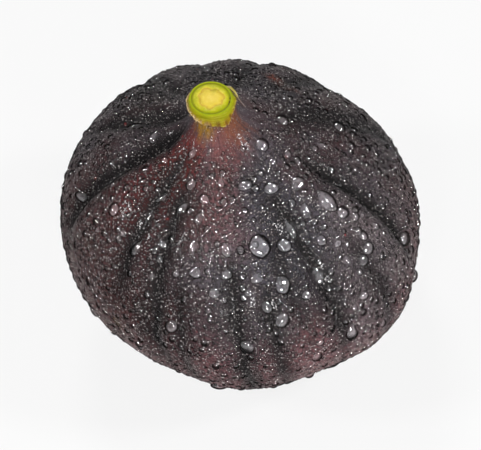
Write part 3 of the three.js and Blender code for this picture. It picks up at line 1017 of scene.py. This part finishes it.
def skin_normal(tree, skin_mesh, here):
    """The skin's normal at the place of it that is nearest."""
    normal = result(tree, "GeometryNodeInputNormal")
    near = {"Mesh": skin_mesh, "Value": normal, "Sample Position": here}
    return result(tree, "GeometryNodeSampleNearestSurface", near, data_type="FLOAT_VECTOR")


def facing(tree, normal):
    """The turn that stands a bead on the skin, with its y down the slope."""
    axes = {"Primary Axis": normal, "Secondary Axis": combine(tree, *DOWNHILL)}
    return result(tree, "FunctionNodeAxesToRotation", axes, primary_axis="Z", secondary_axis="Y")


def drops_tree():
    """Beads of water at a mesh's points, which hold their places and sizes. The long ones have a tail."""
    inputs = [("Geometry", "Geometry"), ("Outline", "Object"), ("Skin", "Object")]
    tree, given, wanted = new_group("Drops of water", GEOMETRY, inputs, [("Geometry", "Geometry")])
    outline_curve = smooth_outline(tree, given["Outline"])
    skin_mesh = object_geometry(tree, given["Skin"])
    azimuth, run, length, width = (kept_field(tree, name) for name in DROP_VALUES)
    where = {"Outline": outline_curve, "Azimuth": azimuth, "Run": run}
    moved = {"Geometry": given["Geometry"], "Position": placed(tree, PLACE, where)["Position"]}
    points = result(tree, "GeometryNodeSetPosition", moved)
    turn = facing(tree, skin_normal(tree, skin_mesh, position(tree)))
    height = length.math("MINIMUM", width) * (MM * BEAD_HEIGHT)
    size = combine(tree, width * (MM / 2), length * (MM / 2), height)
    ran = (length / width).math("GREATER_THAN", RAN_DOWN)
    joined = tree.nodes.new("GeometryNodeJoinGeometry")
    for selection, taper in ((1 - ran, 0.1), (ran, 0.62)):
        bead = tapered_bead(tree, 30, 16, taper)
        fill(tree, joined.inputs[0], set_on(tree, points, bead, turn, size, Selection=selection))
    real = result(tree, "GeometryNodeRealizeInstances", {0: joined.outputs[0]})
    fill(tree, wanted["Geometry"], finished(tree, swayed(tree, real, 380.0, 0.7), WATER))
    return tree


def drop_points(drops):
    """A mesh of loose points that hold the places and sizes of drops."""
    mesh = bpy.data.meshes.new("drop places")
    mesh.from_pydata([(0, 0, 0)] * len(drops), [], [])
    for name, values in zip(DROP_VALUES, zip(*drops)):
        mesh.attributes.new(name, "FLOAT", "POINT").data.foreach_set("value", values)
    return mesh


def random_stream(seed):
    """A repeatable stream of numbers from 0 to 1, the one that scatters the drops of the solid fruit."""
    state = seed
    while True:
        state = state * 16807 % 2147483647
        yield state / 2147483647


WIDE = 30  # the fig's radius, which weighs a turn about the axis against a step down the skin


def compass(azimuth, run):
    """A place on the skin as the skin's own points keep it, for finding the nearest of them."""
    turn = math.radians(azimuth)
    return Vector((math.cos(turn) * WIDE, math.sin(turn) * WIDE, run))


def skin_finder():
    """A function that gives the skin's point, in millimetres, at an azimuth and a run."""
    vertices = skin.data.vertices
    tree = KDTree(len(vertices))
    for i, place in enumerate(skin.data.attributes["place"].data):
        cosine, sine, run = place.vector
        tree.insert((cosine * WIDE, sine * WIDE, run), i)
    tree.balance()
    return lambda azimuth, run: vertices[tree.find(compass(azimuth, run))[1]].co / MM


def scattered_drops():
    """Drops on the sides that the near ones leave bare, kept apart from each other and the near ones."""
    skin_at = skin_finder()
    random = random_stream(SCATTER["seed"])
    places = [skin_at(azimuth, run) for azimuth, run, _, _ in NEAR_DROPS]
    drops = []
    while len(drops) < SCATTER["drops"]:
        azimuth = 360 * next(random)
        run = SCATTER["from"] + (SCATTER["to"] - SCATTER["from"]) * math.sqrt(next(random))
        width = SCATTER["least"] + (SCATTER["most"] - SCATTER["least"]) * next(random) ** 2
        length = width * (0.9 + 0.4 * next(random))
        place = skin_at(azimuth, run)
        if all((other - place).length > SCATTER["apart"] for other in places):
            places.append(place)
            drops.append((azimuth, run, length, width))
    return drops


all_drops = NEAR_DROPS + SMALL_DROPS + scattered_drops()
large_drops = grown("drops", drops_tree(), {"Outline": outline, "Skin": skin}, drop_points(all_drops))
dress(large_drops, "fruit")


def mark_skin_under(drops):
    """Keeps on each point of the skin how far it is under a drop: 1 at a drop's middle and 0 outside it."""
    vertices = skin.data.vertices
    tree = KDTree(len(vertices))
    for i, vertex in enumerate(vertices):
        tree.insert(vertex.co / MM, i)
    tree.balance()
    skin_at = skin_finder()
    under = [0.0] * len(vertices)
    for azimuth, run, length, width in drops:
        reach = (length + width) / 4
        for _, i, far in tree.find_range(skin_at(azimuth, run), reach):
            under[i] = max(under[i], 1 - far / reach)
    skin.data.attributes.new("under a drop", "FLOAT", "POINT").data.foreach_set("value", under)


mark_skin_under(all_drops)

# Dew
# Droplets that cover the skin between the drops, in three sizes. They crowd together in patches, as a fine
# spray leaves them. They thin out in the furrows and up the neck, and the base stays dry.
BEADS = {"Apart": 1.4, "Least": 0.55, "Most": 1.35, "Seed": 9}
FINE_DEW = {"Apart": 0.46, "Least": 0.26, "Most": 0.75, "Seed": 5}
LEAST_DEW = {"Apart": 0.34, "Least": 0.16, "Most": 0.4, "Seed": 8}
DEWS_DENSEST = 4e6  # droplets in a square metre
DRY_BELOW = 3.5  # height under which the skin is dry
DEW_HEIGHT = 0.23  # height of a droplet over its width


def bead_mesh(tree, level):
    """A round droplet, a ball of radius 1."""
    return result(tree, "GeometryNodeMeshIcoSphere", {"Radius": 1.0, "Subdivisions": level}, output="Mesh")


def droplet_mesh(tree, sides):
    """A small droplet: a few faces that lean in to a narrower top, sunk a little."""
    cone = {"Vertices": sides, "Radius Top": 0.5, "Radius Bottom": 1.0, "Depth": 1.0}
    made = result(tree, "GeometryNodeMeshCone", cone, output="Mesh")
    return result(tree, "GeometryNodeTransform", {"Geometry": made, "Translation": (0, 0, -0.2)})


DEW_SIZES = ("Apart", "Least", "Most")


def dew_tree(name, droplet, fineness, water):
    """Droplets scattered over the skin, kept off the drops and off the base."""
    inputs = [("Skin", "Object"), ("Drops", "Object"), *numbers(*DEW_SIZES), ("Seed", "Int")]
    tree, given, wanted = new_group(name, GEOMETRY, inputs, [("Geometry", "Geometry")])
    skin_mesh = object_geometry(tree, given["Skin"])
    drops_mesh = object_geometry(tree, given["Drops"])
    apart, least, most = fields(tree, given, DEW_SIZES)
    here = position(tree)
    _, _, z = separate(tree, here)
    _, _, run = separate(tree, kept_value(tree, "place", "FLOAT_VECTOR"))
    furrow = kept_field(tree, "furrow")
    wet = z.math("GREATER_THAN", DRY_BELOW * MM) * fade(run, 2, 10)
    crowd = fade(noise(tree, here, 120, 2), 0.3, 0.6, 0.35, 1) * (1 - furrow.math("SQRT") * 0.8)
    spread = {"Distance Min": apart, "Density Max": DEWS_DENSEST, "Density Factor": wet * crowd}
    scatter = add_node(
        tree,
        "GeometryNodeDistributePointsOnFaces",
        {"Mesh": skin_mesh, "Seed": given["Seed"], **spread},
        distribute_method="POISSON",
    )
    far = result(tree, "GeometryNodeProximity", {0: drops_mesh}, target_element="FACES", output="Distance")
    touching = Field(tree, far).math("LESS_THAN", apart * 0.35)
    crowded = {"Geometry": scatter.outputs["Points"], "Selection": touching}
    points = result(tree, "GeometryNodeDeleteGeometry", crowded, domain="POINT")
    turn = facing(tree, scatter.outputs["Normal"])
    draw = random_value(tree, 0.0, 1.0, given["Seed"])
    across = least + (most - least) * draw ** 2.2
    stretch = random_value(tree, 0.85, 1.3, 3)
    size = combine(tree, across / 2, across * stretch / 2, across * DEW_HEIGHT)
    beads = set_on(tree, points, droplet(tree, fineness), turn, size)
    fill(tree, wanted["Geometry"], finished(tree, beads, water))
    return tree


DEWS = [
    ("dew_beads", BEADS, bead_mesh, 2, 0.6, 0.12),
    ("dew_fine", FINE_DEW, droplet_mesh, 5, 0.6, 0.1),
    ("dew_least", LEAST_DEW, droplet_mesh, 4, 0.5, 0.1),
]  # name, sizes, shape of one droplet with its level or sides, gleam, and how steep its dark rim starts
# The dark rim of each kind of dew is painted shade, laid on by its water material.
for name, form, droplet, fineness, gleam, steepness in DEWS:
    water = water_material(name.replace("_", " "), gleam, steepness)
    sizes = {size: form[size] * MM for size in DEW_SIZES}
    around = {"Skin": skin, "Drops": large_drops, "Seed": form["Seed"]}
    dress(grown(name, dew_tree(name, droplet, fineness, water), {**around, **sizes}), "fruit")

bpy.data.objects.remove(outline)

# Floor and light
# A plain pale floor in a pale surround. Five small lamps stand round the fig, and every drop mirrors them as
# glints. Lengths here are in metres.
FLOOR_REACH = 3
FLOOR_GLOW = 0.83
SURROUND_GLOW = 0.25
AIM = Vector((0, 0, 0.025))  # what the lamps point at
floor_corners = [(x * FLOOR_REACH, y * FLOOR_REACH, 0) for x, y in ((-1, -1), (1, -1), (1, 1), (-1, 1))]
floor_mesh = bpy.data.meshes.new("floor")
floor_mesh.from_pydata(floor_corners, [], [(0, 1, 2, 3)])
floor = new_object("floor", floor_mesh)
floor_paint, floor_tree, floor_shader = new_material("pale floor")
floor_looks = {"Base Color": (0.02, 0.02, 0.02), "Roughness": 0.9}
floor_glow = {"Emission Color": (1, 1, 1), "Emission Strength": FLOOR_GLOW}
set_inputs(floor_tree, floor_shader, {**floor_looks, **floor_glow})
floor_mesh.materials.append(floor_paint)

world = bpy.data.worlds.new("surround")
world.use_nodes = True
surround = world.node_tree.nodes["Background"]
set_inputs(world.node_tree, surround, {"Color": (1, 1, 1), "Strength": SURROUND_GLOW})
bpy.context.scene.world = world

LIGHTS = [
    ("left", (-0.48, -0.12, 0.36), (0.1, 0.15), 4.4),
    ("right", (0.42, -0.06, 0.42), (0.1, 0.13), 4.9),
    ("front", (-0.1, -0.44, 0.4), (0.08, 0.08), 2.3),
    ("low", (0.16, -0.5, 0.13), (0.15, 0.09), 5.6),
    ("back", (-0.12, 0.42, 0.5), (0.16, 0.1), 4.2),
]  # name, place, width and height, and power in watts


def add_light(name, place, size, power):
    light = new_object(name, bpy.data.lights.new(name, "AREA"))
    light.data.shape = "RECTANGLE"
    light.data.size, light.data.size_y = size
    light.data.energy = power
    light.location = place
    light.rotation_euler = (AIM - Vector(place)).to_track_quat("-Z", "Y").to_euler()


for light in LIGHTS:
    add_light(*light)

bpy.context.scene.view_settings.view_transform = "Standard"
